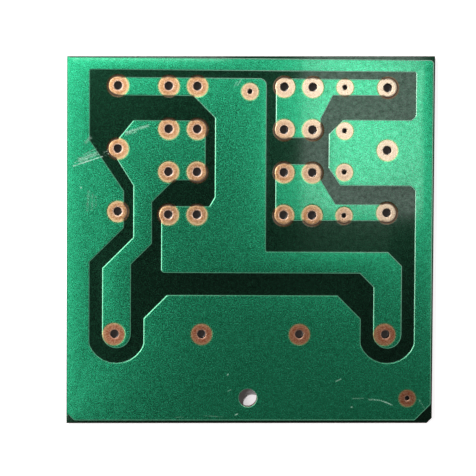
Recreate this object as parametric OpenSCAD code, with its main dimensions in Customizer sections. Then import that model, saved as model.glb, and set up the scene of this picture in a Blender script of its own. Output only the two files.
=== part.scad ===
// Bare power supply circuit board, copper side up.
// One sheet of laminate carries five etched foils, one for each net of a centre-tapped
// bridge rectifier, under a coat of solder mask that leaves the pads bare.
// X runs to the outputs, Y to the diode end, Z up from the underside.

/* [Board] */
// Width of the laminate from the inputs to the outputs
board_w = 64.6; // [61:0.1:80]
// Length of the laminate at its longer, right side
board_h = 64.9; // [61:0.1:80]
// Thickness of the laminate
board_t = 1.6; // [0.8:0.1:3.2]
// How much the top edge falls towards the left, because it was sheared out of square
top_skew = 0.6; // [0:0.1:1]
// Leg of the broken corner at the bottom right
corner_clip = 0.9; // [0.2:0.1:2]

/* [Layers] */
// Thickness of the copper foil
foil_t = 0.07; // [0.035:0.005:0.14]
// Thickness of the solder mask, also on the flanks of the foil
mask_t = 0.03; // [0.015:0.005:0.06]
// How far the mask is printed to the right of the pads
mask_shift_x = 0.15; // [-0.25:0.01:0.25]
// How far the mask is printed below the pads
mask_shift_y = 0.08; // [-0.25:0.01:0.25]

/* [Holes and pads] */
// Drill for the diode, terminal and film capacitor leads
lead_hole_d = 1.5; // [0.8:0.1:1.8]
// Drill for the small capacitor leads and the test leads
fine_hole_d = 0.85; // [0.6:0.05:1.2]
// Copper pad round a lead hole
lead_pad_d = 3.2; // [2.6:0.1:3.6]
// Copper pad round a fine hole
fine_pad_d = 2.5; // [1.8:0.1:3]
// Opening in the mask over a lead pad
lead_opening_d = 3.9; // [2.8:0.1:4.2]
// Opening in the mask over a fine pad
fine_opening_d = 3.2; // [2:0.1:3.4]
// Clearance hole for the mounting screw
mount_d = 3.2; // [2.2:0.1:4.5]
// Mounting hole, from the middle of the board
mount_x = -0.4; // [-8:0.1:8]
// Mounting hole, up from the bottom edge
mount_rise = 4.5; // [4:0.1:7]

/* [Diodes] */
// Distance between the two leads of a diode in the inner pair of holes
diode_span = 15.25; // [13:0.25:18]
// Step from an inner hole to the outer hole for longer leads
pair_pitch = 5; // [4:0.1:6]
// Distance from diode to diode
row_pitch = 7.5; // [7:0.1:9]
// First diode below the top of the ground foil
row_drop = 4.9; // [4.5:0.05:6]
// Middle of the diodes, from the middle of the board
diode_x = -1.9; // [-3:0.1:0]

/* [Terminals and capacitors] */
// Distance between the terminals on each side
terminal_pitch = 11; // [10:0.1:13]
// Input terminals outside the outer diode holes
inlet_step = 8.85; // [8:0.05:10]
// Small capacitors outside the outer diode holes
cap_step = 5.65; // [5:0.05:7]
// Lead distance of the small capacitors
cap_pitch = 7.62; // [7:0.02:8]
// Output terminals outside the small capacitors
outlet_step = 7.55; // [6:0.05:9]
// Lead distance of the film capacitors
film_pitch = 15.25; // [14:0.05:17]
// Middle of each film capacitor, from the middle of the board
film_mid = 16.25; // [15:0.05:17]
// Film capacitors below the edge of the ground plane
film_drop = 6.85; // [6:0.05:8]
// Test pad in from the right and up from the bottom edge
corner_tap = 4.45; // [3.8:0.05:6]
// Test pad in from the right side of the first input foil
trunk_tap_x = 2.9; // [2.2:0.1:4]
// Test pad down from the top of the first input foil
trunk_tap_y = 2.3; // [2.2:0.1:4]

/* [Foil widths] */
// Copper from the middle of a pad to the straight edge beside it
land = 1.45; // [1.2:0.05:1.55]
// Copper from the outer diode holes to the left edge of the first input foil
pool_land = 1.2; // [0.8:0.05:1.5]
// Copper past the middle terminal of the inputs
nose = 1.3; // [0.8:0.05:1.5]
// Width of the strip from the first input terminal
strip_w = 3.15; // [2.5:0.1:4]
// Width of the neck of the second input foil
neck_w = 3.2; // [2:0.1:4]
// Width of the bus across the board
bus_w = 3.75; // [3:0.1:5]
// Width of the arms to the film capacitors
arm_w = 4.95; // [4.2:0.05:6]
// How far the arms lie to the right of their pads
arm_shift = 0.33; // [0:0.01:0.4]
// Copper of the ground peninsula beyond the upper small capacitor
cape_land = 1.95; // [1.6:0.05:3]
// Copper of the ground peninsula beyond the lower small capacitor
cape_foot = 2.4; // [1.6:0.05:3]

/* [Foil gaps] */
// Gap between foils that run side by side
gap = 1.7; // [1.2:0.1:2.2]
// Gap from the diode pads to the ground foil
near_gap = 1.3; // [0.8:0.05:2]
// Gap beside the arms to the film capacitors
moat = 2.3; // [1.5:0.1:3]
// Gap round the ends of those arms
moat_end = 2.65; // [1.5:0.05:3.5]
// From the last diode down to the bus
bus_drop = 6.45; // [5:0.1:8]
// Gap from the bus down to the ground plane
bus_gap = 3.95; // [3:0.05:6]
// Bare laminate beside the ground foil
side_margin = 0.3; // [0.15:0.05:1]
// Bare laminate below the ground foil
bottom_margin = 0.55; // [0.15:0.05:1.5]
// Bare laminate above the ground foil, at the low end of the top edge
top_margin = 0.15; // [0.15:0.05:1]

/* [Foil corners] */
// Rounding that the etching leaves on each corner
etch_r = 0.3; // [0.1:0.05:0.5]
// Rounded corner of the first input foil
trunk_round = 1.2; // [0.5:0.1:2]
// Slanted corner between the strip and the trunk of the first input foil
trunk_cut = 3.85; // [2:0.1:5]
// Slanted corner at the foot of the trunk, across
foot_x = 0.95; // [0.7:0.05:2]
// Slanted corner at the foot of the trunk, upwards
foot_y = 1.65; // [0.7:0.05:3]
// Slanted corners where the bus bends into the right arm
bend = 2.45; // [1.5:0.05:4]
// Slanted corner between the block and the neck of the second input foil
block_cut = 3.85; // [2:0.05:4]
// Start of the neck below the block, on its left side
neck_rise = 1; // [0.7:0.05:2]
// Start of the slant to the left arm, below the last diode
slant_drop = 4.05; // [3:0.05:6]
// How much later the slant starts on the right side of the neck
slant_step = 1.05; // [0.3:0.05:1.5]
// Bay of the ground foil, below the top of the neck
bay_drop = 0.95; // [0.5:0.05:2]
// Bay of the ground foil, above the start of the slant
bay_rise = 1.7; // [1:0.05:2.5]
// Start of the bay's slant, above the middle terminal
bay_start = 1.45; // [0.7:0.05:3]
// Knee of the positive foil, above the second diode
knee_up = 1.95; // [1:0.05:3]
// Knee of the negative foil, below the third diode
knee_down = 1.2; // [0.7:0.05:3]
// Shoulder of the positive foil, left of the small capacitor
shoulder_up = 2.1; // [1.5:0.05:3]
// Shoulder of the negative foil, left of the small capacitor
shoulder_down = 1.5; // [1.3:0.05:3]
// Slanted corners of the ground plane beside the arms
shore_cut = 4.1; // [2:0.1:6]
// Slanted corner at the top of the ground peninsula
cape_cut = 2.55; // [1:0.05:2.7]
// Slanted corner at the foot of the ground peninsula, across
cape_cut_x = 2.05; // [1:0.05:2.4]
// Slanted corner at the foot of the ground peninsula, upwards
cape_cut_y = 3.1; // [1:0.05:3.5]
// Slanted corners where the ground peninsula joins the border
root_cut = 0.8; // [0.7:0.05:2]
// Rounded top corners of the ground foil
border_round = 0.6; // [0.2:0.1:2]
// Slanted corner of the ground foil at the bottom left
border_cut_l = 1.1; // [0.7:0.1:3]
// Slanted corner of the ground foil at the bottom right
border_cut_r = 2.8; // [1.5:0.1:3.5]

/* [Hidden] */

// Circles are drawn in this many steps, and a rounded corner has one step per arc_step degrees
$fn = 64;
arc_step = 15;
// Overlap of a cutting shape past the face that it cuts
cut = 1;

// Ground foil border
border_l = -board_w / 2 + side_margin;
border_r = board_w / 2 - side_margin;
border_b = -board_h / 2 + bottom_margin;
border_t = board_h / 2 - top_skew - top_margin;

// Columns of diode holes from left to right, and diode rows from the top down
column = [for (k = [-1, 1]) each [
    diode_x + k * diode_span / 2 + min(k, 0) * pair_pitch,
    diode_x + k * diode_span / 2 + max(k, 0) * pair_pitch]];
row = [for (k = [0:3]) border_t - row_drop - k * row_pitch];
last_row = row[3];

// Terminals, which start level with the first diode
inlet_x = column[0] - inlet_step;
cap_x = column[3] + cap_step;
outlet_x = cap_x + outlet_step;
terminal_y = [for (k = [0:2]) row[0] - k * terminal_pitch];
// Small capacitor leads: the upper part hangs from the first diode, the lower stands on the last
cap_y = [row[0], row[0] - cap_pitch, last_row + cap_pitch, last_row];

// Straight edges of the foils
strip_t = row[0] + land;
strip_b = strip_t - strip_w;
block_t = row[1] + land;
block_b = row[2] - land;
block_r = column[1] + land;
out_l = column[2] - land;
out_r = column[3] + land;
trunk_l = block_r + gap;
trunk_r = out_l - gap;
pool_l = column[0] - pool_land;
pool_t = last_row + land;
neck_r = pool_l - gap;
neck_l = neck_r - neck_w;
neck_t = block_b - neck_rise;
bay_l = neck_l - gap;
low_y = min(last_row, terminal_y[2]);
slant_t = low_y - slant_drop;
negative_b = terminal_y[2] - land;
negative_t = terminal_y[2] + land;
bus_t = low_y - bus_drop;
bus_b = bus_t - bus_w;
shore_t = bus_b - bus_gap;
film_y = shore_t - film_drop;
film_x = [for (side = [-1, 1]) for (k = [-1, 1]) side * film_mid + k * film_pitch / 2];
left_arm = film_x[0] + arm_shift;
right_arm = film_x[3] + arm_shift;
arm_r = arm_w / 2;

// Window in the ground foil that holds the other foils
window_l = min(left_arm - arm_r - moat, inlet_x - lead_opening_d / 2 - moat);
window_r = max(right_arm + arm_r + moat, outlet_x + lead_opening_d / 2 + moat);
window_t = strip_t + near_gap;
shore_l = left_arm + arm_r + moat;
shore_r = right_arm - arm_r - moat;
// Round end of the window below each arm, and the angle at which it meets the straight sides
end_r = arm_r + max(moat, moat_end);
end_turn = acos((arm_r + moat) / end_r);
bay_t = neck_t - bay_drop;
bay_b = slant_t + bay_rise;
cape_l = column[3] + lead_pad_d / 2 + near_gap;
cape_t = cap_y[1] + cape_land;
cape_b = cap_y[2] - cape_foot;

// Pad places, net by net
trunk_tap = [trunk_r - trunk_tap_x, strip_t - trunk_tap_y];
board_tap = [board_w / 2 - corner_tap, -board_h / 2 + corner_tap];
mount_at = [mount_x, -board_h / 2 + mount_rise];
first_leads = [[inlet_x, terminal_y[0]], [column[0], row[0]], [column[1], row[0]],
               [column[0], last_row], [column[1], last_row], [film_x[3], film_y]];
second_leads = [[inlet_x, terminal_y[1]], [film_x[0], film_y],
                for (y = [row[1], row[2]]) for (x = [column[0], column[1]]) [x, y]];
positive_leads = [[outlet_x, terminal_y[0]],
                  for (y = [row[0], row[1]]) for (x = [column[2], column[3]]) [x, y]];
negative_leads = [[outlet_x, terminal_y[2]],
                  for (y = [row[2], last_row]) for (x = [column[2], column[3]]) [x, y]];
ground_leads = [[inlet_x, terminal_y[2]], [outlet_x, terminal_y[1]],
                [film_x[1], film_y], [film_x[2], film_y]];
first_fine = [trunk_tap];
positive_fine = [[cap_x, cap_y[0]]];
negative_fine = [[cap_x, cap_y[3]]];
ground_fine = [[cap_x, cap_y[1]], [cap_x, cap_y[2]], board_tap];
lead_holes = concat(first_leads, second_leads, positive_leads, negative_leads, ground_leads);
fine_holes = concat(first_fine, positive_fine, negative_fine, ground_fine);

// Outlines run counterclockwise, and each corner is [x, y, rounding radius]

function soft(x, y) = [x, y, etch_r];

// Corners along an arc, for the round ends
function arc(centre, r, from, to) =
    let (n = ceil(abs(to - from) / arc_step))
    [for (k = [0:n]) let (a = from + (to - from) * k / n)
        [centre.x + r * cos(a), centre.y + r * sin(a), 0]];

board_outline = [
    [-board_w / 2, board_h / 2 - top_skew, 0],
    [-board_w / 2, -board_h / 2, 0],
    [board_w / 2 - corner_clip, -board_h / 2, 0],
    [board_w / 2, -board_h / 2 + corner_clip, 0],
    [board_w / 2, board_h / 2, 0]];

border_outline = [
    [border_l, border_t, border_round],
    soft(border_l, border_b + border_cut_l),
    soft(border_l + border_cut_l, border_b),
    soft(border_r - border_cut_r, border_b),
    soft(border_r, border_b + border_cut_r),
    [border_r, border_t, border_round]];

window_outline = [
    soft(window_l, window_t),
    soft(window_l, terminal_y[1] + bay_start),
    soft(bay_l, bay_t),
    soft(bay_l, bay_b),
    soft(window_l, bay_b - (bay_l - window_l)),
    each arc([left_arm, film_y], end_r, 180 + end_turn, 360 - end_turn),
    soft(shore_l, shore_t - shore_cut),
    soft(shore_l + shore_cut, shore_t),
    soft(shore_r - shore_cut, shore_t),
    soft(shore_r, shore_t - shore_cut),
    each arc([right_arm, film_y], end_r, 180 + end_turn, 360 - end_turn),
    soft(window_r, cape_b - root_cut),
    soft(window_r - root_cut, cape_b),
    soft(cape_l + cape_cut_x, cape_b),
    soft(cape_l, cape_b + cape_cut_y),
    soft(cape_l, cape_t - cape_cut),
    soft(cape_l + cape_cut, cape_t),
    soft(window_r - root_cut, cape_t),
    soft(window_r, cape_t + root_cut),
    soft(window_r, window_t)];

first_outline = [
    [inlet_x, strip_t, 0],
    [inlet_x, strip_b, 0],
    soft(trunk_l - trunk_cut, strip_b),
    soft(trunk_l, strip_b - trunk_cut),
    soft(trunk_l, pool_t + foot_y),
    soft(trunk_l - foot_x, pool_t),
    [column[0], pool_t, 0],
    [pool_l, last_row, 0],
    [pool_l, bus_b, 2 * etch_r],
    soft(right_arm - arm_r - bend, bus_b),
    soft(right_arm - arm_r, bus_b - bend),
    each arc([right_arm, film_y], arm_r, 180, 360),
    soft(right_arm + arm_r, bus_t - bend),
    soft(right_arm + arm_r - bend, bus_t),
    soft(trunk_r, bus_t),
    [trunk_r, strip_t, trunk_round]];

second_outline = [
    soft(neck_l, block_t),
    [inlet_x - nose, terminal_y[1], 0],
    soft(neck_l, neck_t),
    soft(neck_l, slant_t),
    soft(left_arm - arm_r, slant_t - (neck_l - left_arm + arm_r)),
    each arc([left_arm, film_y], arm_r, 180, 360),
    soft(left_arm + arm_r, slant_t - slant_step - (neck_r - left_arm - arm_r)),
    soft(neck_r, slant_t - slant_step),
    soft(neck_r, block_b - block_cut),
    soft(neck_r + block_cut, block_b),
    [column[1], block_b, 0],
    [block_r, row[2], 0],
    [block_r, row[1], 0],
    [column[1], block_t, 0]];

positive_outline = [
    [column[2], strip_t, 0],
    [out_l, row[0], 0],
    [out_l, row[1], 0],
    [column[2], row[1] - land, 0],
    [column[3], row[1] - land, 0],
    [out_r, row[1], 0],
    soft(out_r, row[1] + knee_up),
    soft(cap_x - shoulder_up, terminal_y[0] - land),
    [outlet_x, terminal_y[0] - land, 0],
    [outlet_x, strip_t, 0]];

negative_outline = [
    [column[2], row[2] + land, 0],
    [out_l, row[2], 0],
    [out_l, last_row, 0],
    [column[2], negative_b, 0],
    [outlet_x, negative_b, 0],
    [outlet_x, negative_t, 0],
    soft(cap_x - shoulder_down, negative_t),
    soft(out_r, row[2] - knee_down),
    [out_r, row[2], 0],
    [column[3], row[2] + land, 0]];

function unit(v) = v / norm(v);
function flat(p) = [p.x, p.y];
function before(loop, i) = loop[(i + len(loop) - 1) % len(loop)];
function after(loop, i) = loop[(i + 1) % len(loop)];

// Outward normal of the side from a to b
function outward(a, b) = unit([b.y - a.y, a.x - b.x]);

// The outline moved outwards by d, with its roundings kept concentric
function grown(loop, d) = [for (i = [0:len(loop) - 1])
    let (p = loop[i], a = before(loop, i), b = after(loop, i))
    let (m = outward(a, p), n = outward(p, b), at = flat(p) + d * (m + n) / (1 + m * n))
    [at.x, at.y, p.z > 0 ? max(0, p.z + d * sign(cross(m, n))) : 0]];

// One corner as points: the corner itself, or an arc that meets both sides
function corner(a, p, b) =
    let (u = unit(flat(a) - flat(p)), v = unit(flat(b) - flat(p)), half = acos(u * v) / 2)
    p.z == 0 ? [flat(p)] :
    let (centre = flat(p) + unit(u + v) * p.z / sin(half), start = flat(p) + u * p.z / tan(half))
    let (spoke = start - centre, from = atan2(spoke.y, spoke.x))
    let (turn = sign(cross(-u, v)) * (180 - 2 * half), n = max(1, ceil(abs(turn) / arc_step)))
    [for (k = [0:n]) centre + p.z * [cos(from + turn * k / n), sin(from + turn * k / n)]];

function rounded(loop) = [for (i = [0:len(loop) - 1])
    each corner(before(loop, i), loop[i], after(loop, i))];

module discs(places, d) {
    for (p = places)
        translate(p)
            circle(d = d);
}

// A foil outline with its pads, moved outwards by d
module copper(loop, leads, fine, d = 0) {
    polygon(rounded(grown(loop, d)));
    discs(leads, lead_pad_d + 2 * d);
    discs(fine, fine_pad_d + 2 * d);
}

module ground_copper(d = 0) {
    difference() {
        polygon(rounded(grown(border_outline, d)));
        polygon(rounded(grown(window_outline, -d)));
    }
    discs(ground_leads, lead_pad_d + 2 * d);
    discs(ground_fine, fine_pad_d + 2 * d);
}

module first_copper(d = 0) {
    copper(first_outline, first_leads, first_fine, d);
}

module second_copper(d = 0) {
    copper(second_outline, second_leads, [], d);
}

module positive_copper(d = 0) {
    copper(positive_outline, positive_leads, positive_fine, d);
}

module negative_copper(d = 0) {
    copper(negative_outline, negative_leads, negative_fine, d);
}

// Every drilled hole of the board
module drilling() {
    discs(lead_holes, lead_hole_d);
    discs(fine_holes, fine_hole_d);
    discs([mount_at], mount_d);
}

// A foil lies on the laminate, and the drill goes through it
module foil() {
    translate([0, 0, board_t])
        linear_extrude(foil_t)
            difference() {
                children();
                drilling();
            }
}

module base_laminate() {
    color([0.10, 0.07, 0.05])
        linear_extrude(board_t)
            difference() {
                polygon(rounded(board_outline));
                drilling();
            }
}

module ground_foil() {
    color([0.78, 0.52, 0.36])
        foil()
            ground_copper();
}

module first_input_foil() {
    color([0.80, 0.55, 0.40])
        foil()
            first_copper();
}

module second_input_foil() {
    color([0.80, 0.57, 0.42])
        foil()
            second_copper();
}

module positive_foil() {
    color([0.88, 0.76, 0.62])
        foil()
            positive_copper();
}

module negative_foil() {
    color([0.84, 0.64, 0.48])
        foil()
            negative_copper();
}

// The mask follows the foils: low on the laminate, up their flanks and over them
module solder_mask() {
    color([0.08, 0.48, 0.34])
        translate([0, 0, board_t])
            difference() {
                union() {
                    linear_extrude(mask_t)
                        polygon(rounded(board_outline));
                    linear_extrude(foil_t + mask_t) {
                        ground_copper(mask_t);
                        first_copper(mask_t);
                        second_copper(mask_t);
                        positive_copper(mask_t);
                        negative_copper(mask_t);
                    }
                }
                translate([0, 0, -cut])
                    linear_extrude(foil_t + cut) {
                        ground_copper();
                        first_copper();
                        second_copper();
                        positive_copper();
                        negative_copper();
                    }
                translate([0, 0, -cut])
                    linear_extrude(foil_t + mask_t + 2 * cut) {
                        translate([mask_shift_x, -mask_shift_y]) {
                            discs(lead_holes, lead_opening_d);
                            discs(fine_holes, fine_opening_d);
                        }
                        drilling();
                    }
            }
}

base_laminate();
ground_foil();
first_input_foil();
second_input_foil();
positive_foil();
negative_foil();
solder_mask();
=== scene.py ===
# %% [markdown]
# # A bare power supply circuit board
# The object is one sheet of dark laminate with five etched copper foils and a coat of green
# solder mask, lying copper side up. The solids come from the frame, at their real size. This lesson
# gives them the rounded edges, finishes and wear that make such a board look real.

# %% Load the frame
import math

import bmesh
import bpy
import numpy as np
from mathutils import Euler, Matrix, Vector, geometry


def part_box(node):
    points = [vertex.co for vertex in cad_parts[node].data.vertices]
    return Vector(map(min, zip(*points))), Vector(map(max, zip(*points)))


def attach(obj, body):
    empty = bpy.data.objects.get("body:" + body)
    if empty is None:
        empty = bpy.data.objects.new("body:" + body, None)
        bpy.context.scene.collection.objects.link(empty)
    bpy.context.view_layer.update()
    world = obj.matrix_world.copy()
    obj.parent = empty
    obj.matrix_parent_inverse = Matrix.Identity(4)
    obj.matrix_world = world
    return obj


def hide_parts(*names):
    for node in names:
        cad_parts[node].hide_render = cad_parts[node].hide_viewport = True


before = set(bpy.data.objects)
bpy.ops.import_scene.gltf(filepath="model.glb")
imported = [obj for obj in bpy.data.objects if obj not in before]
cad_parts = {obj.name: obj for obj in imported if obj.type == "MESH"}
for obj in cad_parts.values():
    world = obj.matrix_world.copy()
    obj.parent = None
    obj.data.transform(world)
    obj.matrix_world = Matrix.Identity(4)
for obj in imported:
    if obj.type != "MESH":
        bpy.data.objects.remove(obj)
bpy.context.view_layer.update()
FOILS = ["ground_foil", "first_input_foil", "second_input_foil", "positive_foil", "negative_foil"]
print("nodes:", sorted(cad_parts))

# %% [markdown]
# The layers are thin, so the whole lesson measures in millimetres and turns to metres only where
# a mesh or a light is made. The heights of the layers are read from the frame.

# %% Heights of the layers
MM = 0.001
laminate_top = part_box("base_laminate")[1].z / MM
foil_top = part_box("ground_foil")[1].z / MM
mask_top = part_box("solder_mask")[1].z / MM
mask_t = mask_top - foil_top
print(f"laminate {laminate_top:.2f} mm, foil to {foil_top:.2f} mm, mask to {mask_top:.2f} mm")

# %% [markdown]
# The camera stands about 25 cm above the board, a little up and to the left of its middle, and
# leans slightly, so that the board fills the picture as it does when it is held under a phone.

# %% Camera
CAMERA_AT = (-11.92, 7.925, 251.7)
CAMERA_TURN = (-1.770, -2.196, 0.3245)
CAMERA_LENS = 107.77
camera = bpy.data.objects.new("camera", bpy.data.cameras.new("camera"))
bpy.context.scene.collection.objects.link(camera)
camera.location = Vector(CAMERA_AT) * MM
camera.rotation_euler = Euler([math.radians(a) for a in CAMERA_TURN])
camera.data.lens = CAMERA_LENS
camera.data.sensor_width = 36
camera.data.clip_start = 0.005
bpy.context.scene.camera = camera
print("camera", round(CAMERA_AT[2] - mask_top), "mm above the board")

# %% [markdown]
# Every edge of the board is drawn by the solids already. This helper walks round the upper face of
# a node and returns its outlines as closed rows of points, with the material on their left. Outer
# edges then have a positive area, and holes a negative one.

# %% Outlines of a node
SAME_PLACE = 1e-7
SAME_HEIGHT = 1e-6


def outlines(node_name):
    mesh = bmesh.new()
    mesh.from_mesh(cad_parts[node_name].data)
    bmesh.ops.remove_doubles(mesh, verts=mesh.verts, dist=SAME_PLACE)
    level = max(v.co.z for v in mesh.verts) - SAME_HEIGHT
    upper = [f for f in mesh.faces if f.normal.z > 0.9 and min(v.co.z for v in f.verts) > level]
    on_top = set(upper)
    onward = {}
    for face in upper:
        for corner in face.loops:
            if not any(other in on_top for other in corner.edge.link_faces if other is not face):
                onward[corner.vert.index] = corner.link_loop_next.vert.index
    mesh.verts.ensure_lookup_table()
    loops = []
    while onward:
        start, at = onward.popitem()
        ring = [start]
        while at != start:
            ring.append(at)
            at = onward.pop(at)
        loops.append(np.array([mesh.verts[i].co[:2] for i in ring]) / MM)
    mesh.free()
    return loops


def area(loop):
    x, y = loop.T
    return 0.5 * float(np.sum(x * np.roll(y, -1) - np.roll(x, -1) * y))


def middle_and_radius(loop):
    low, high = loop.min(axis=0), loop.max(axis=0)
    return (low + high) / 2, float((high - low).mean() / 2)


laminate_loops = outlines("base_laminate")
foil_loops = {name: outlines(name) for name in FOILS}
board_edge = next(loop for loop in laminate_loops if area(loop) > 0)
holes = [loop for loop in laminate_loops if area(loop) < 0]
drills = [middle_and_radius(loop) for loop in holes]
mount_middle, mount_r = max(drills, key=lambda drill: drill[1])
screw_least = mount_r - 0.1
lead_drills = [(middle, r) for middle, r in drills if r < screw_least]
print(len(drills), "drilled holes, the largest", round(2 * mount_r, 2), "mm across")

# %% [markdown]
# A sheet with drilled holes needs rounded rims to catch the light. A Bevel modifier could cut them,
# but on thin foil it has no room. Here each outline is repeated as a few rings that step inwards and
# upwards. One helper moves an outline inwards, and another tells which places lie inside it.

# %% Rings and what lies inside them
AT_ONCE = 2000


def moved_in(loop, inset):
    ahead = np.roll(loop, -1, axis=0) - loop
    ahead /= np.linalg.norm(ahead, axis=1, keepdims=True)
    left = np.column_stack([-ahead[:, 1], ahead[:, 0]])
    before = np.roll(left, 1, axis=0)
    turn = np.maximum(1 + np.sum(left * before, axis=1, keepdims=True), 0.5)
    return loop + inset * (left + before) / turn


def inside(points, loops):
    crossings = np.zeros(len(points), int)
    for loop in loops:
        a, b = loop, np.roll(loop, -1, axis=0)
        for start in range(0, len(points), AT_ONCE):
            x, y = points[start:start + AT_ONCE, 0:1], points[start:start + AT_ONCE, 1:2]
            spans = (a[:, 1] > y) != (b[:, 1] > y)
            with np.errstate(divide="ignore", invalid="ignore"):
                at = a[:, 0] + (y - a[:, 1]) * (b[:, 0] - a[:, 0]) / (b[:, 1] - a[:, 1])
            crossings[start:start + AT_ONCE] += np.sum(spans & (x < at), axis=1)
    return crossings % 2 == 1


drill_middles = np.array([middle for middle, _ in drills])
print(int(inside(drill_middles, [board_edge]).sum()), "holes lie on the board")

# %% [markdown]
# Strips join the rings of an outline, and a triangulation fills the flat middle between all outlines.
# Every new piece is shaded smooth with sharp creases kept, and it can carry a number at each point,
# which a material reads later.

# %% Sheets with rims
MEETING = 1e-5
CREASE = math.radians(40)


def triangles(loops, extra=()):
    points, edges = [], []
    for loop in loops:
        first = len(points)
        points += [Vector(p) for p in loop]
        edges += [(first + i, first + (i + 1) % len(loop)) for i in range(len(loop))]
    points += [Vector(p) for p in extra]
    made, _, faces, sources, _, _ = geometry.delaunay_2d_cdt(points, edges, [], 0, MEETING)
    return np.array([p[:] for p in made]), np.array(faces), sources


def new_piece(name, points, faces, flat=True):
    mesh = bpy.data.meshes.new(name)
    mesh.from_pydata([tuple(p) for p in np.asarray(points) * MM], [], [list(f) for f in faces])
    mesh.validate()
    mesh.shade_smooth()
    mesh.set_sharp_from_angle(angle=CREASE)
    piece = bpy.data.objects.new(name, mesh)
    bpy.context.scene.collection.objects.link(piece)
    if flat:
        weighted = piece.modifiers.new("flat faces stay flat", "WEIGHTED_NORMAL")
        weighted.keep_sharp = True
    return piece


def mark(piece, label, values):
    store = piece.data.attributes.new(label, "FLOAT", "POINT").data
    store.foreach_set("value", np.asarray(values, np.float32))


def flat_places(piece):
    return np.array([v.co[:2] for v in piece.data.vertices]) / MM


def rimmed_sheet(name, loops, low, high, top_rim, bottom_rim, extra=()):
    points, faces, upper, lower = [], [], [], []
    for loop in loops:
        rings = [(moved_in(loop, inset), low + lift) for inset, lift in reversed(bottom_rim(loop))]
        rings += [(moved_in(loop, inset), high - drop) for inset, drop in top_rim(loop)]
        n = len(loop)
        first = len(points)
        for ring, z in rings:
            points += [(x, y, z) for x, y in ring]
        for k in range(len(rings) - 1):
            at = first + k * n
            faces += [(at + i, at + (i + 1) % n, at + n + (i + 1) % n, at + n + i) for i in range(n)]
        lower.append((rings[0][0], first))
        upper.append((rings[-1][0], first + (len(rings) - 1) * n))
    first = len(points)
    points += [(x, y, high) for x, y in extra]
    for rings, flip in ((upper, False), (lower, True)):
        index = np.concatenate([np.arange(len(ring)) + at for ring, at in rings])
        index = np.append(index, np.arange(len(points) - first) + first)
        made, cells, sources = triangles([ring for ring, _ in rings], () if flip else extra)
        kept = cells[inside(made[cells].mean(axis=1), [ring for ring, _ in rings])]
        for cell in kept:
            corners = [int(index[sources[c][0]]) for c in cell]
            faces.append(corners[::-1] if flip else corners)
    piece = new_piece(name, points, faces)
    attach(piece, "root")
    return piece


print("creases sharper than", round(math.degrees(CREASE)), "degrees stay sharp")

# %% [markdown]
# The laminate is sheared to size and drilled, so its edges are only slightly broken. Its real
# thickness and outline stay. A rim is a list of steps, each with how far it lies inwards and how far
# below the face. The points on the sheared edge are marked, because the fibres are frayed there.

# %% Laminate
SHEARED_RIM = [(0, 0.10), (0.03, 0.03), (0.10, 0)]
DRILLED_RIM = [(0, 0.05), (0.05, 0)]
FRAYED_BAND = 0.05


def sawn_rim(loop):
    return SHEARED_RIM if area(loop) > 0 else DRILLED_RIM


def edge_gap(points, loop):
    along = np.roll(loop, -1, axis=0) - loop
    p = points[:, None, :] - loop
    t = np.clip(np.sum(p * along, axis=2) / np.sum(along * along, axis=1), 0, 1)
    return np.linalg.norm(p - t[..., None] * along, axis=2).min(axis=1)


laminate = rimmed_sheet("laminate_sheet", laminate_loops, 0, laminate_top, sawn_rim, sawn_rim)
mark(laminate, "cut_edge", edge_gap(flat_places(laminate), board_edge) < FRAYED_BAND)
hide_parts("base_laminate")
print("laminate", len(laminate.data.polygons), "faces")

# %% [markdown]
# Etching eats a corner from two sides, so the corners of the foils come out slightly round. Each sharp
# corner is traded for a short curve, while round pads and the edge of the board stay as they are.

# %% Eased corners
EASED_TURN = math.radians(20)
EASED_REACH = 0.8
EASED_SHARE = 0.4
EASED_LEAST = 0.1
BOARD_RIM = 0.8
CURVE_POINTS = 6


def eased(loop):
    at_rim = edge_gap(loop, board_edge) < BOARD_RIM
    steps = np.linspace(0, 1, CURVE_POINTS)
    points = []
    for here, back, ahead, keep in zip(loop, np.roll(loop, 1, axis=0), np.roll(loop, -1, axis=0), at_rim):
        come, go = here - back, ahead - here
        long_in, long_out = np.linalg.norm(come), np.linalg.norm(go)
        turn = math.acos(np.clip(come @ go / (long_in * long_out), -1, 1))
        cut = min(EASED_REACH, EASED_SHARE * long_in, EASED_SHARE * long_out)
        if keep or turn < EASED_TURN or cut < EASED_LEAST:
            points.append(here)
            continue
        start, end = here - come / long_in * cut, here + go / long_out * cut
        points += [(1 - t) ** 2 * start + 2 * t * (1 - t) * here + t * t * end for t in steps]
    return np.array(points)


sharp_count = sum(len(loop) for loops in foil_loops.values() for loop in loops)
foil_loops = {name: [eased(loop) for loop in loops] for name, loops in foil_loops.items()}
eased_count = sum(len(loop) for loops in foil_loops.values() for loop in loops)
print((eased_count - sharp_count) // (CURVE_POINTS - 1), "corners eased")

# %% [markdown]
# The foils and the mask both need to know how far a place lies from the nearest copper edge, and on
# which side of it. All edges are kept as one list of short lines, and the distance to every line is
# worked out for many places at once.

# %% Distance to the copper edges
def is_copper_edge(loop):
    return area(loop) > 0 or middle_and_radius(loop)[1] > mount_r + 1


copper_edges = [loop for loops in foil_loops.values() for loop in loops if is_copper_edge(loop)]
edge_a = np.concatenate(copper_edges)
edge_b = np.concatenate([np.roll(loop, -1, axis=0) for loop in copper_edges])


def depth_in_copper(points):
    depth = np.empty(len(points))
    along = edge_b - edge_a
    for start in range(0, len(points), AT_ONCE):
        p = points[start:start + AT_ONCE, None, :]
        t = np.clip(np.sum((p - edge_a) * along, axis=2) / np.sum(along * along, axis=1), 0, 1)
        depth[start:start + AT_ONCE] = np.linalg.norm(p - edge_a - t[..., None] * along, axis=2).min(axis=1)
    return np.where(inside(points, copper_edges), depth, -depth)


def round_gap(points, circles):
    return np.min([np.linalg.norm(points - middle, axis=1) - r for middle, r in circles], axis=0)


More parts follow.
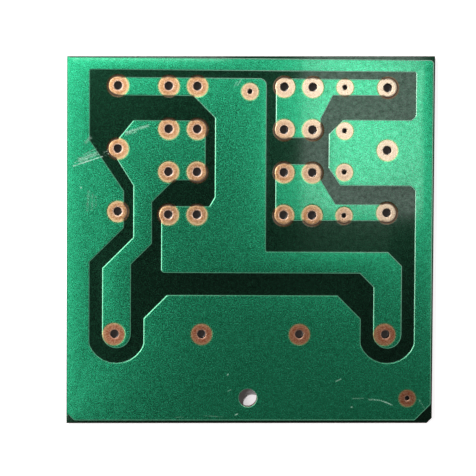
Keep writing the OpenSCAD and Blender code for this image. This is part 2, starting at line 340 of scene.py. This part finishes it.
def smooth(value, low, high):
    t = np.clip((value - low) / (high - low), 0, 1)
    return t * t * (3 - 2 * t)


print(len(edge_a), "short lines of copper edge")

# %% [markdown]
# The drill drags the copper down with it, so each pad dips towards its hole. That dished rim is
# what shines as a crescent on the side that faces the light. Etching rounds the outlines a little.
# Bands of points round each hole let a pad store how far every place on it is from the hole.

# %% Foils
TURN_STEPS = 56
PAD_BANDS = (0.40, 0.62, 0.82, 0.98, 1.12)
BAND_FROM_EDGE = 0.16
BAND_FROM_DRILL = 0.35
ETCHED_RIM = [(0, 0.050), (0.05, 0.022), (0.14, 0)]
SCREW_RIM = [(0, 0.012), (0.03, 0)]
DRAGGED_RIM = [(0, 0.024), (0.05, 0.011), (0.12, 0.002), (0.18, 0)]
SQUARE_RIM = [(0, 0)]
FAR_FROM_HOLE = 2


def circle(middle, r):
    a = np.linspace(0, 2 * math.pi, TURN_STEPS, endpoint=False)
    return middle + r * np.column_stack([np.cos(a), np.sin(a)])


def pad_rim(loop):
    if is_copper_edge(loop):
        return ETCHED_RIM
    return SCREW_RIM if middle_and_radius(loop)[1] > screw_least else DRAGGED_RIM


def square_rim(loop):
    return SQUARE_RIM


bands = np.vstack([circle(middle, r + out) for middle, r in lead_drills for out in PAD_BANDS])
from_drill = round_gap(bands, lead_drills)
bands = bands[(depth_in_copper(bands) > BAND_FROM_EDGE) & (from_drill > BAND_FROM_DRILL)]
foils = {}
for name in FOILS:
    loops = foil_loops[name]
    on_foil = bands[inside(bands, loops)]
    foils[name] = rimmed_sheet(
        name + "_etched", loops, laminate_top, foil_top, pad_rim, square_rim, on_foil)
    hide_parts(name)
    from_hole = round_gap(flat_places(foils[name]), drills)
    mark(foils[name], "from_hole", np.clip(from_hole, 0, FAR_FROM_HOLE))
    print(name, len(foils[name].data.polygons), "faces")

# %% [markdown]
# Solder mask is printed with an opening for every pad. The openings are read from the solid. The
# print lies slightly off the pads, and the lacquer has crept a little over their rims, so each
# opening is shifted and made smaller.

# %% Openings in the mask
OPENING_REACH = 1.42
CREEP = 0.13
PRINT_SLIP = np.array([-0.14, 0.05])
mask_points = np.array([v.co[:2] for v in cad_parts["solder_mask"].data.vertices]) / MM
openings = []
for middle, r in lead_drills:
    near = mask_points[np.linalg.norm(mask_points - middle, axis=1) < r + OPENING_REACH]
    spot, wide = middle_and_radius(near)
    openings.append((spot + PRINT_SLIP, wide - CREEP))
print(len(openings), "openings, radii", sorted({round(r, 2) for _, r in openings}))

# %% [markdown]
# Solder mask is a liquid when it is printed. It flows off the edges of the copper and leaves soft
# shoulders, which draw the bright lines round every foil, with a painted highlight from the material
# added on them. The height of the coat at any place is one function, so it can be asked twice: once for
# the points of the sheet, and once a hair to each side of them, which gives the exact slope. Those
# slopes become the normals of the sheet, and the flat gaps stay free of shading creases. The coat also
# rounds off at the screw hole, where it is worn thin, and the material paints that rim pale as a
# painted highlight.

# %% Height of the coat
SHOULDER_IN, SHOULDER_OUT = 0.15, -0.085
HALO = 0.28
THINNING = 0.012
WORN_RIM = 0.14
WORN_SHARE = 0.9
BEAD_WIDTH = 0.5
BEAD_START = 1.6
BEAD_DEPTH = 0.2
SLOPE_STEP = 0.008
left_end, low_end = board_edge.min(axis=0)


def coat_depth(points):
    depth = depth_in_copper(points)
    beaded = (points[:, 0] < left_end + BEAD_WIDTH) & (points[:, 1] > low_end + BEAD_START)
    return np.where(beaded, np.maximum(depth, BEAD_DEPTH), depth)


def thinned_at(points):
    return 1 - smooth(round_gap(points, openings), 0, HALO)


def worn_rim(points):
    return 1 - smooth(np.linalg.norm(points - mount_middle, axis=1) - mount_r, 0, WORN_RIM)


def coat_height(points):
    rise = smooth(coat_depth(points), SHOULDER_OUT, SHOULDER_IN)
    full = laminate_top + mask_t + (foil_top - laminate_top) * rise
    return full - THINNING * thinned_at(points) - WORN_SHARE * mask_t * worn_rim(points)


def coat_normals(points):
    east, north = np.array([SLOPE_STEP, 0]), np.array([0, SLOPE_STEP])
    dx = (coat_height(points + east) - coat_height(points - east)) / (2 * SLOPE_STEP)
    dy = (coat_height(points + north) - coat_height(points - north)) / (2 * SLOPE_STEP)
    normals = np.column_stack([-dx, -dy, np.ones(len(points))])
    return normals / np.linalg.norm(normals, axis=1, keepdims=True)


print("the coat drops", round(foil_top - laminate_top, 3), "mm off the copper")

# %% [markdown]
# The coat needs points only where it bends. Rings follow every copper edge, every opening and the
# screw hole, and a triangulation joins them. The triangles over the holes are left out.

# %% Points of the mask
MASK_MARGIN = 0.10
SHOULDER_RINGS = (0.15, 0.125, 0.09, 0.05, 0.0, -0.02, -0.055, -0.085)
SCREW_RINGS = (0.01, 0.07, WORN_RIM)
OPENING_RINGS = (0, 0.4 * HALO, HALO)
mount_edge = max(holes, key=lambda loop: middle_and_radius(loop)[1])
inner_edge = moved_in(board_edge, MASK_MARGIN)
screw_rows = [moved_in(mount_edge, inset) for inset in SCREW_RINGS]
rows = [inner_edge, *screw_rows]
rows += [moved_in(loop, inset) for loop in copper_edges for inset in SHOULDER_RINGS]
rows += [circle(middle, r + grow) for middle, r in openings for grow in OPENING_RINGS]
flat_points, cells, _ = triangles(rows)
centres = flat_points[cells].mean(axis=1)
kept = inside(centres, [inner_edge]) & ~inside(centres, [screw_rows[0]])
for middle, r in openings:
    kept &= np.linalg.norm(centres - middle, axis=1) > r * math.cos(math.pi / TURN_STEPS)
used, cells = np.unique(cells[kept], return_inverse=True)
flat_points, cells = flat_points[used], cells.reshape(-1, 3)
print(len(flat_points), "points in the coat")

# %% [markdown]
# The upper side takes the height of the coat. A lower side rests on the laminate and on the rounded
# rims of the foils, and a wall closes the two wherever a triangle has no neighbour.

# %% Mask sheet
SEAT_FOOT, SEAT_EDGE = -0.021, -0.001
seat_depths = [SEAT_FOOT, SEAT_EDGE] + [inset for inset, _ in ETCHED_RIM[1:]]
seat_heights = [laminate_top] + [foil_top - drop for _, drop in ETCHED_RIM]
low_z = np.interp(depth_in_copper(flat_points), seat_depths, seat_heights)
top_z = coat_height(flat_points)
count = len(flat_points)
points = np.vstack([np.column_stack([flat_points, top_z]), np.column_stack([flat_points, low_z])])
border = {}
for a, b, c in cells:
    for edge in ((a, b), (b, c), (c, a)):
        if edge[::-1] in border:
            del border[edge[::-1]]
        else:
            border[edge] = True
faces = [tuple(c) for c in cells] + [tuple(c[::-1] + count) for c in cells]
faces += [(b, a, a + count, b + count) for a, b in border]
mask = new_piece("mask_coat", points, faces, flat=False)
print("mask", len(mask.data.polygons), "faces")

# %% [markdown]
# The sheet stores where copper lies below it, where it thins out and where it slopes, so that one
# material can colour all of it. Then it gets the exact normals from the slopes.

# %% Marks and normals of the mask
GREEN_FROM, GREEN_TO = -0.07, 0.02
covered = coat_depth(flat_points)
rise = smooth(covered, SHOULDER_OUT, SHOULDER_IN)
sloped = np.maximum(4 * rise * (1 - rise), worn_rim(flat_points))
mark(mask, "over_copper", np.tile(smooth(covered, GREEN_FROM, GREEN_TO), 2))
mark(mask, "thin", np.tile(thinned_at(flat_points), 2))
mark(mask, "shoulder", np.tile(sloped, 2))
normals = np.vstack([coat_normals(flat_points), np.tile([0, 0, -1.0], (count, 1))])
corner_normals = []
for face in mask.data.polygons:
    level = abs(face.normal.z) > 0.5
    corner_normals += [tuple(normals[v]) if level else tuple(face.normal) for v in face.vertices]
mask.data.normals_split_custom_set(corner_normals)
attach(mask, "root")
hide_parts("solder_mask")
print("mask carries", [a.name for a in mask.data.attributes if a.data_type == "FLOAT"])

# %% [markdown]
# A Blender material is a network of nodes. These short helpers add a node, fill its sockets with values
# or links, and return the socket that carries its result, so that a material reads like a list of
# steps. Places are turned into millimetres before any pattern uses them.

# %% Node helpers
def link(tree, source, target):
    tree.links.new(source, target)


def fill(tree, sockets, inputs):
    for key, value in inputs.items():
        if isinstance(value, bpy.types.NodeSocket):
            link(tree, value, sockets[key])
        else:
            sockets[key].default_value = value


def node(tree, kind, inputs=None, **settings):
    made = tree.nodes.new(kind)
    for key, value in settings.items():
        setattr(made, key, value)
    fill(tree, made.inputs, inputs or {})
    return made


def math_node(tree, operation, a, b=0.0, clamp=False):
    return node(tree, "ShaderNodeMath", {0: a, 1: b}, operation=operation, use_clamp=clamp).outputs[0]


def times(tree, a, b):
    return math_node(tree, "MULTIPLY", a, b)


def ramp(tree, value, low, high):
    ends = {"Value": value, "From Min": low, "From Max": high}
    return node(tree, "ShaderNodeMapRange", ends).outputs[0]


def mix_value(tree, factor, a, b):
    return node(tree, "ShaderNodeMapRange", {"Value": factor, "To Min": a, "To Max": b}).outputs[0]


def mix_colour(tree, factor, a, b):
    made = node(tree, "ShaderNodeMix", data_type="RGBA")
    sockets = {socket.identifier: socket for socket in made.inputs}
    fill(tree, sockets, {"Factor_Float": factor, "A_Color": a, "B_Color": b})
    return next(s for s in made.outputs if s.identifier == "Result_Color")


def stored(tree, label):
    return node(tree, "ShaderNodeAttribute", attribute_name=label).outputs["Fac"]


def place(tree):
    where = tree.nodes.new("ShaderNodeTexCoord").outputs["Object"]
    return node(tree, "ShaderNodeVectorMath", {0: where, "Scale": 1 / MM}, operation="SCALE").outputs[0]


# %% [markdown]
# All materials share two effects, so each is a node group that is built once: fine grain, as a
# scrubbed surface has, and soft mottling. Groups give out only masks, and every material decides what
# they change.

# %% Grain and mottling groups
FLOAT, VECTOR = "NodeSocketFloat", "NodeSocketVector"
ORIGIN = (0, 0, 0)


def new_group(name, inputs, outputs):
    group = bpy.data.node_groups.new(name, "ShaderNodeTree")
    for label, kind, default in inputs:
        socket = group.interface.new_socket(label, in_out="INPUT", socket_type=kind)
        socket.default_value = default
    for label in outputs:
        group.interface.new_socket(label, in_out="OUTPUT", socket_type=FLOAT)
    return group, group.nodes.new("NodeGroupInput").outputs, group.nodes.new("NodeGroupOutput").inputs


grain_inputs = [("Place", VECTOR, ORIGIN), ("Size", FLOAT, 0.1), ("Stretch", FLOAT, 4.0)]
grain_group, given, out = new_group("scrubbed_grain", grain_inputs, ["Grain", "Speckle"])
streaks = node(grain_group, "ShaderNodeCombineXYZ", {0: given["Stretch"], 1: 1.0, 2: 1.0}).outputs[0]
stretched = {0: given["Place"], 1: streaks}
drawn_out = node(grain_group, "ShaderNodeVectorMath", stretched, operation="DIVIDE").outputs[0]
per_mm = math_node(grain_group, "DIVIDE", 1.0, given["Size"])
long_grain = {"Vector": drawn_out, "Scale": per_mm, "Detail": 3.0}
round_grain = {"Vector": given["Place"], "Scale": per_mm, "Detail": 1.0}
link(grain_group, node(grain_group, "ShaderNodeTexNoise", long_grain).outputs[0], out["Grain"])
link(grain_group, node(grain_group, "ShaderNodeTexNoise", round_grain).outputs[0], out["Speckle"])

mottle_inputs = [("Place", VECTOR, ORIGIN), ("Size", FLOAT, 8.0)]
mottle_group, given, out = new_group("soft_mottle", mottle_inputs, ["Mottle"])
per_mm = math_node(mottle_group, "DIVIDE", 1.0, given["Size"])
cloud = {"Vector": given["Place"], "Scale": per_mm, "Detail": 4.0}
link(mottle_group, node(mottle_group, "ShaderNodeTexNoise", cloud).outputs[0], out["Mottle"])
print("groups:", [group.name for group in bpy.data.node_groups])

# %% [markdown]
# A scratch is a thin line that wanders a little and breaks up where the lacquer held. This group turns
# the board until the scratch lies along X, measures how far a place is from it, and fades with that
# distance. Two noises that all scratches share make it wander and chip.

# %% Scratch group
scratch_inputs = [
    ("Place", VECTOR, ORIGIN),
    ("Middle", VECTOR, ORIGIN),
    ("Turn", VECTOR, ORIGIN),
    ("Half", FLOAT, 1.0),
    ("Width", FLOAT, 0.2),
    ("Strength", FLOAT, 1.0),
    ("Breaks", FLOAT, 0.5),
    ("Wander", FLOAT, 0.5),
    ("Chips", FLOAT, 0.5),
]
scratch_group, given, out = new_group("scratch", scratch_inputs, ["Mask"])
turning = {"Vector": given["Place"], "Location": given["Middle"], "Rotation": given["Turn"]}
turned = node(scratch_group, "ShaderNodeMapping", turning, vector_type="TEXTURE").outputs[0]
turned = node(scratch_group, "ShaderNodeSeparateXYZ", {0: turned}).outputs
along = math_node(scratch_group, "ABSOLUTE", turned["X"])
aside = math_node(scratch_group, "ABSOLUTE", turned["Y"])
gap = math_node(scratch_group, "MAXIMUM", math_node(scratch_group, "SUBTRACT", along, given["Half"]), aside)
sway = math_node(scratch_group, "SUBTRACT", given["Wander"], 0.5)
gap = math_node(scratch_group, "ADD", gap, times(scratch_group, sway, given["Width"]))
fading = {"Value": gap, "From Min": 0.0, "From Max": given["Width"], "To Min": 1.0, "To Max": 0.0}
core = node(scratch_group, "ShaderNodeMapRange", fading, interpolation_type="SMOOTHSTEP").outputs[0]
open_at = times(scratch_group, given["Breaks"], 0.6)
unbroken = ramp(scratch_group, given["Chips"], open_at, math_node(scratch_group, "ADD", open_at, 0.2))
shown = times(scratch_group, times(scratch_group, core, unbroken), given["Strength"])
link(scratch_group, shown, out["Mask"])
print("inputs of a scratch:", [label for label, _, _ in scratch_inputs])

# %% [markdown]
# Every material starts from the Principled shader that Blender adds by itself. Values that stay the
# same all over are set on its sockets, and only what varies over the board is linked.

# %% Start of a material
def new_material(name, **sockets):
    material = bpy.data.materials.new(name)
    material.use_nodes = True
    tree = material.node_tree
    shader = tree.nodes["Principled BSDF"]
    for label, value in sockets.items():
        shader.inputs[label.replace("_", " ")].default_value = value
    return material, tree, shader


def group_node(tree, group, inputs):
    return node(tree, "ShaderNodeGroup", inputs, node_tree=group).outputs


def dress(piece, material):
    piece.data.materials.clear()
    piece.data.materials.append(material)
    print(piece.name, "wears", material.name)


# %% [markdown]
# The laminate is pressed paper and resin, almost black with a brown cast, and its sheared edges show
# paler, frayed fibres. Single fibres are too fine to model here, so stretched grain stands for them in
# the colour and in a slight bump.

# %% Laminate material
PAPER_DARK = (0.030, 0.015, 0.009, 1)
PAPER_BROWN = (0.085, 0.042, 0.024, 1)
FIBRE_TAN = (0.075, 0.055, 0.038, 1)
FRAY_GREY = (0.25, 0.215, 0.20, 1)
material, tree, shader = new_material("pressed_laminate", Roughness=0.55, Specular_IOR_Level=0.4)
at = place(tree)
mottle = group_node(tree, mottle_group, {"Place": at, "Size": 2.5})["Mottle"]
fibres = group_node(tree, grain_group, {"Place": at, "Size": 0.12, "Stretch": 6.0})["Grain"]
colour = mix_colour(tree, mottle, PAPER_DARK, PAPER_BROWN)
colour = mix_colour(tree, times(tree, fibres, 0.35), colour, FIBRE_TAN)
frayed = mix_value(tree, ramp(tree, fibres, 0.38, 0.62), 0.45, 0.85)
colour = mix_colour(tree, times(tree, stored(tree, "cut_edge"), frayed), colour, FRAY_GREY)
link(tree, colour, shader.inputs["Base Color"])
bump = node(tree, "ShaderNodeBump", {"Height": fibres, "Strength": 0.35, "Distance": 0.00004})
link(tree, bump.outputs[0], shader.inputs["Normal"])
dress(laminate, material)

# %% [markdown]
# The pads are bare copper that was scrubbed and has dulled since. It is a metal, so its colour comes
# from what it mirrors. Tarnish browns it in patches. A painted shade makes the lower pads darker and
# redder, and a painted sheen makes the pads at the upper right paler. The rim of each pad is yellow
# where lacquer has crept over it, and a painted highlight draws a paler ring round the hole.

# %% Copper material
COPPER = (0.55, 0.275, 0.115, 1)
COPPER_DULL = (0.42, 0.185, 0.074, 1)
COPPER_SHADED_LOW = (0.34, 0.080, 0.036, 1)
COPPER_SHEEN_PALE = (1.0, 0.89, 0.69, 1)
RIM_YELLOW = (0.72, 0.55, 0.27, 1)
RING_HIGHLIGHT = (0.84, 0.60, 0.47, 1)
RUBBED_PALE = (0.90, 0.66, 0.44, 1)
PIT_BROWN = (0.50, 0.20, 0.085, 1)
material, tree, shader = new_material("bare_copper", Metallic=1.0)
at = place(tree)
mottle = group_node(tree, mottle_group, {"Place": at, "Size": 1.1})["Mottle"]
scrub = group_node(tree, grain_group, {"Place": at, "Size": 0.19, "Stretch": 1.4})
from_hole = stored(tree, "from_hole")
spot = node(tree, "ShaderNodeSeparateXYZ", {0: at}).outputs
# Painted shade: the pads are drawn darker and redder towards the bottom, where the light falls off.
painted_shade = ramp(tree, spot["Y"], -6.0, -16.0)
# Painted sheen: the pads are drawn paler towards the upper right, where the lights are mirrored.
painted_sheen = ramp(tree, math_node(tree, "ADD", spot["X"], times(tree, spot["Y"], 0.75)), 14.0, 32.0)
colour = mix_colour(tree, ramp(tree, mottle, 0.40, 0.66), COPPER, COPPER_DULL)
colour = mix_colour(tree, times(tree, painted_shade, 0.9), colour, COPPER_SHADED_LOW)
rim = times(tree, ramp(tree, from_hole, 0.66, 0.94), mix_value(tree, painted_shade, 0.92, 0.25))
colour = mix_colour(tree, rim, colour, RIM_YELLOW)
# Painted highlight: a paler ring is drawn round each hole, on top of the real shine of the dished rim.
painted_ring_highlight = times(tree, ramp(tree, from_hole, 0.30, 0.08), mix_value(tree, painted_shade, 0.75, 0.35))
colour = mix_colour(tree, painted_ring_highlight, colour, RING_HIGHLIGHT)
colour = mix_colour(tree, times(tree, painted_sheen, mix_value(tree, painted_shade, 0.85, 0.15)), colour, COPPER_SHEEN_PALE)
rubbed = times(tree, ramp(tree, scrub["Grain"], 0.45, 0.60), mix_value(tree, painted_shade, 0.5, 0.35))
colour = mix_colour(tree, rubbed, colour, RUBBED_PALE)
pits = times(tree, ramp(tree, scrub["Speckle"], 0.46, 0.36), 0.45)
colour = mix_colour(tree, pits, colour, PIT_BROWN)
link(tree, colour, shader.inputs["Base Color"])
link(tree, mix_value(tree, scrub["Speckle"], 0.22, 0.44), shader.inputs["Roughness"])
bump = node(tree, "ShaderNodeBump", {"Height": scrub["Grain"], "Strength": 0.3, "Distance": 0.00003})
link(tree, bump.outputs[0], shader.inputs["Normal"])
for piece in foils.values():
    dress(piece, material)

# %% [markdown]
# Handling has left scratches, smears and specks in the lacquer. Each is listed with its two ends in
# millimetres, its width, its strength and how much it breaks up.

# %% Wear on the mask
SCRATCHES = [
    ((-31.1, 12.7), (-26.1, 14.4), 0.16, 1.00, 0.55),
    ((-30.9, 13.3), (-26.6, 14.75), 0.13, 0.55, 0.60),
    ((-30.2, 13.9), (-26.9, 15.2), 0.13, 0.45, 0.62),
    ((-29.4, 14.7), (-27.2, 15.7), 0.13, 0.40, 0.62),
    ((-29.9, 13.8), (-27.2, 14.8), 0.60, 0.38, 0.42),
    ((-28.9, 16.9), (-28.3, 17.6), 0.45, 0.28, 0.45),
    ((-25.8, 15.0), (-25.1, 15.6), 0.34, 1.00, 0.88),
    ((-25.6, 14.6), (-25.0, 14.9), 0.22, 0.90, 0.85),
    ((-21.9, 18.6), (-18.2, 19.8), 0.34, 0.50, 0.46),
    ((-20.9, 18.95), (-19.0, 19.55), 0.20, 0.55, 0.50),
    ((-22.0, 18.3), (-20.2, 18.7), 0.26, 0.35, 0.50),
    ((-29.8, 8.9), (-29.75, 8.95), 0.16, 0.90, 0.10),
    ((-28.7, 4.9), (-28.5, 8.2), 0.35, 0.30, 0.70),
    ((-27.9, 5.2), (-27.8, 7.9), 0.30, 0.35, 0.75),
    ((-27.2, 5.6), (-27.2, 7.4), 0.25, 0.25, 0.75),
    ((-2.5, 27.0), (-1.9, 28.0), 0.16, 0.55, 0.60),
    ((-3.1, 26.8), (-2.6, 27.6), 0.14, 0.40, 0.60),
    ((15.2, -25.0), (16.0, -24.6), 0.16, 0.55, 0.40),
    ((18.2, -28.05), (20.0, -28.0), 0.14, 0.40, 0.60),
    ((21.0, -28.2), (23.2, -28.4), 0.20, 0.75, 0.65),
    ((23.2, -28.4), (25.2, -29.2), 0.20, 0.85, 0.65),
    ((17.95, -29.6), (18.0, -29.6), 0.18, 0.70, 0.20),
    ((30.0, -28.3), (31.0, -29.9), 0.24, 0.60, 0.80),
    ((-4.0, -23.9), (-3.9, -23.8), 0.17, 0.80, 0.10),
    ((-3.9, -26.75), (-3.4, -26.5), 0.14, 0.45, 0.40),
    ((-2.6, -31.0), (-2.2, -30.8), 0.16, 0.80, 0.20),
    ((-8.1, -31.1), (-4.8, -31.3), 0.13, 0.45, 0.65),
    ((-13.2, -31.4), (-11.8, -31.3), 0.12, 0.30, 0.60),
]
print(len(SCRATCHES), "scratches and specks")

# %% [markdown]
# The mask is a clear green lacquer. Over copper it shines like metallic paint, and over bare laminate
# it looks almost black. Two materials would need a cut in the sheet at every copper edge. The marks on
# the sheet let one material do both. First all the scratches are laid over each other.

# %% Scratches on the lacquer
material, tree, shader = new_material("green_lacquer", Coat_Roughness=0.07, Specular_IOR_Level=0.15)
at = place(tree)
over_copper = stored(tree, "over_copper")
thinned = stored(tree, "thin")
shoulder = stored(tree, "shoulder")
mottle = group_node(tree, mottle_group, {"Place": at, "Size": 7.0})["Mottle"]
blotch = group_node(tree, mottle_group, {"Place": at, "Size": 0.8})["Mottle"]
scrub = group_node(tree, grain_group, {"Place": at, "Size": 0.21, "Stretch": 1.6})
wander = node(tree, "ShaderNodeTexNoise", {"Vector": at, "Scale": 1.3, "Detail": 2.0}).outputs[0]
chips = node(tree, "ShaderNodeTexNoise", {"Vector": at, "Scale": 6.0, "Detail": 2.0}).outputs[0]
worn = None
for start, end, width, strength, breaks in SCRATCHES:
    run = Vector(end) - Vector(start)
    halfway = (Vector(end) + Vector(start)) / 2
    turn = (0, 0, math.atan2(run.y, run.x))
    line = {"Place": at, "Middle": (*halfway, 0), "Turn": turn, "Half": run.length / 2, "Width": width}
    wear = {"Strength": strength, "Breaks": breaks, "Wander": wander, "Chips": chips}
    one = group_node(tree, scratch_group, {**line, **wear})["Mask"]
    worn = one if worn is None else math_node(tree, "MAXIMUM", worn, one)
print(material.name, "has", len(tree.nodes), "nodes so far")

# %% [markdown]
# The green is uneven in two sizes and carries pale specks. Where the coat slopes off the copper a
# painted highlight makes it pale, most at the upper right where the light falls. Round the openings it
# thins to olive and amber over copper, and to a brown stain over laminate.

# %% Colour of the lacquer
LACQUER_DARK = (0.002, 0.020, 0.009, 1)
LACQUER_LIGHT = (0.006, 0.046, 0.022, 1)
GREEN_LOW = (0.012, 0.265, 0.118, 1)
GREEN_HIGH = (0.028, 0.470, 0.232, 1)
GREEN_SPECK = (0.20, 0.66, 0.45, 1)
EDGE_HIGHLIGHT = (0.50, 0.78, 0.62, 1)
HALO_OLIVE = (0.36, 0.52, 0.24, 1)
RIM_AMBER = (0.52, 0.36, 0.14, 1)
STAIN_BROWN = (0.11, 0.045, 0.014, 1)
BARE_STREAK = (0.55, 0.80, 0.66, 1)
uneven = math_node(tree, "ADD", times(tree, blotch, 0.55), times(tree, scrub["Grain"], 0.45))
uneven = ramp(tree, uneven, 0.33, 0.68)
green = mix_colour(tree, uneven, GREEN_LOW, GREEN_HIGH)
green = mix_colour(tree, times(tree, mottle, 0.3), green, GREEN_LOW)
specks = times(tree, ramp(tree, scrub["Speckle"], 0.64, 0.76), 0.45)
green = mix_colour(tree, specks, green, GREEN_SPECK)
spot = node(tree, "ShaderNodeSeparateXYZ", {0: at}).outputs
upper_right = ramp(tree, math_node(tree, "ADD", spot["X"], spot["Y"]), 5.0, 35.0)
# Painted highlight: the shoulders and the screw-hole rim are drawn pale, most at the upper right where they
# are lit.
painted_edge_highlight = times(tree, times(tree, shoulder, over_copper), mix_value(tree, upper_right, 0.28, 0.9))
green = mix_colour(tree, painted_edge_highlight, green, EDGE_HIGHLIGHT)
colour = mix_colour(tree, over_copper, mix_colour(tree, uneven, LACQUER_DARK, LACQUER_LIGHT), green)
halo = times(tree, thinned, over_copper)
colour = mix_colour(tree, times(tree, halo, 0.75), colour, HALO_OLIVE)
lip = times(tree, ramp(tree, halo, 0.7, 1.0), 0.8)
colour = mix_colour(tree, lip, colour, RIM_AMBER)
stain = times(tree, thinned, math_node(tree, "SUBTRACT", 1.0, over_copper))
colour = mix_colour(tree, times(tree, stain, 0.9), colour, STAIN_BROWN)
colour = mix_colour(tree, worn, colour, BARE_STREAK)
link(tree, colour, shader.inputs["Base Color"])
print("colours of the lacquer are mixed")

# %% [markdown]
# The sheen comes from the copper below, so it is nearly metallic, and matt where the coat is scratched
# and under the painted edge highlight. Fine dull specks break it up. A clear gloss lies on top and is
# weaker where the coat thins.
# The bump takes only the grain: the scratches would make it too deep a network to render.

# %% Sheen of the lacquer
matt = math_node(tree, "MAXIMUM", times(tree, worn, 0.8), times(tree, painted_edge_highlight, 0.75))
sheen_part = math_node(tree, "SUBTRACT", mix_value(tree, over_copper, 0.95, 0.92), matt, clamp=True)
link(tree, sheen_part, shader.inputs["Metallic"])
dull = ramp(tree, scrub["Speckle"], 0.50, 0.56)
rough = math_node(tree, "ADD", mix_value(tree, dull, 0.20, 0.278), times(tree, shoulder, 0.10))
link(tree, rough, shader.inputs["Roughness"])
glossy = times(tree, mix_value(tree, uneven, 0.30, 0.84), mix_value(tree, thinned, 1.0, 0.3))
link(tree, glossy, shader.inputs["Coat Weight"])
bump = node(tree, "ShaderNodeBump", {"Height": scrub["Grain"], "Strength": 0.10, "Distance": 0.000016})
link(tree, bump.outputs[0], shader.inputs["Normal"])
dress(mask, material)

# %% [markdown]
# The floor is a plain white sheet. It adds a little light of its own to what the camera sees, so it
# reads as white paper and still keeps the soft shadow of the board. Under the board that light is left
# out, or it would show through the holes.

# %% Floor
FLOOR_REACH = 1.2
FLOOR_CORNERS = ((-1, -1), (1, -1), (1, 1), (-1, 1))
BOARD_HALF = 32.0
PAPER_WHITE = (0.64, 0.61, 0.62, 1)
mesh = bpy.data.meshes.new("floor")
mesh.from_pydata([(x * FLOOR_REACH, y * FLOOR_REACH, 0) for x, y in FLOOR_CORNERS], [], [(0, 1, 2, 3)])
floor = bpy.data.objects.new("floor", mesh)
bpy.context.scene.collection.objects.link(floor)
material, tree, shader = new_material(
    "white_paper", Base_Color=PAPER_WHITE, Roughness=0.9, Specular_IOR_Level=0.0, Emission_Strength=0.75)
path = tree.nodes.new("ShaderNodeLightPath").outputs
mirrored = math_node(tree, "MAXIMUM", path["Is Glossy Ray"], path["Is Transmission Ray"])
seen = math_node(tree, "MAXIMUM", path["Is Camera Ray"], mirrored)
spot = node(tree, "ShaderNodeSeparateXYZ", {0: place(tree)}).outputs
beside = math_node(tree, "GREATER_THAN", math_node(tree, "ABSOLUTE", spot["X"]), BOARD_HALF)
beyond = math_node(tree, "GREATER_THAN", math_node(tree, "ABSOLUTE", spot["Y"]), BOARD_HALF)
open_paper = times(tree, seen, math_node(tree, "MAXIMUM", beside, beyond))
link(tree, mix_colour(tree, open_paper, (0, 0, 0, 1), (1, 1, 1, 1)), shader.inputs["Emission Color"])
dress(floor, material)

# %% [markdown]
# A soft key light stands at the upper left. Four weaker panels only give the green its sheen, where the
# board mirrors them at its edges and its upper right. Light linking keeps them off the paper, or the
# holes would fill with light. A small lamp lights only the paper and draws the sharp bright spot that
# shows through the screw hole.

# %% Lights
sheen = bpy.data.collections.new("lit_by_the_sheen_panels")
for piece in (laminate, mask, *foils.values()):
    sheen.objects.link(piece)
paper = bpy.data.collections.new("lit_by_the_paper_lamp")
paper.objects.link(floor)


def soft_panel(name, at, size, watts, only=None):
    lamp = bpy.data.objects.new(name, bpy.data.lights.new(name, "AREA"))
    lamp.data.shape = "RECTANGLE"
    lamp.data.size, lamp.data.size_y = size[0] * MM, size[1] * MM
    lamp.data.energy = watts
    lamp.location = Vector(at) * MM
    lamp.light_linking.receiver_collection = only
    bpy.context.scene.collection.objects.link(lamp)
    return lamp


key = soft_panel("key_panel", (-262, 58, 283), (400, 150), 0.76)
paper_lamp = soft_panel("paper_lamp", (-216, 275, 400), (25, 25), 3.5, paper)
for aimed in (key, paper_lamp):
    aimed.rotation_euler = (-aimed.location).to_track_quat("-Z", "Y").to_euler()
soft_panel("top_panel", (-125, 90, 300), (260, 50), 0.174, sheen)
soft_panel("left_panel", (-74, 22, 300), (24, 216), 0.0715, sheen)
soft_panel("right_panel", (57, 46, 300), (46, 92), 0.045, sheen)
soft_panel("low_panel", (112, -5, 300), (36, 80), 0.011, sheen)
print("a key light, a paper lamp and four sheen panels")

# %% [markdown]
# The room is a plain world that is bright near the horizon and dim overhead, so the lacquer has
# something to mirror at a low angle and stays deep green from above.

# %% Room
world = bpy.data.worlds.new("room")
bpy.context.scene.world = world
world.use_nodes = True
tree = world.node_tree
towards = tree.nodes.new("ShaderNodeTexCoord").outputs["Generated"]
up = node(tree, "ShaderNodeSeparateXYZ", {0: towards}).outputs["Z"]
dimming = {"Value": up, "From Min": 0.35, "From Max": 0.86, "To Min": 0.95, "To Max": 0.10}
level = node(tree, "ShaderNodeMapRange", dimming).outputs[0]
link(tree, level, tree.nodes["Background"].inputs["Strength"])
tree.nodes["Background"].inputs["Color"].default_value = (1, 1, 1, 1)
bpy.context.scene.view_settings.view_transform = "Standard"
print(world.name, "is dim overhead")
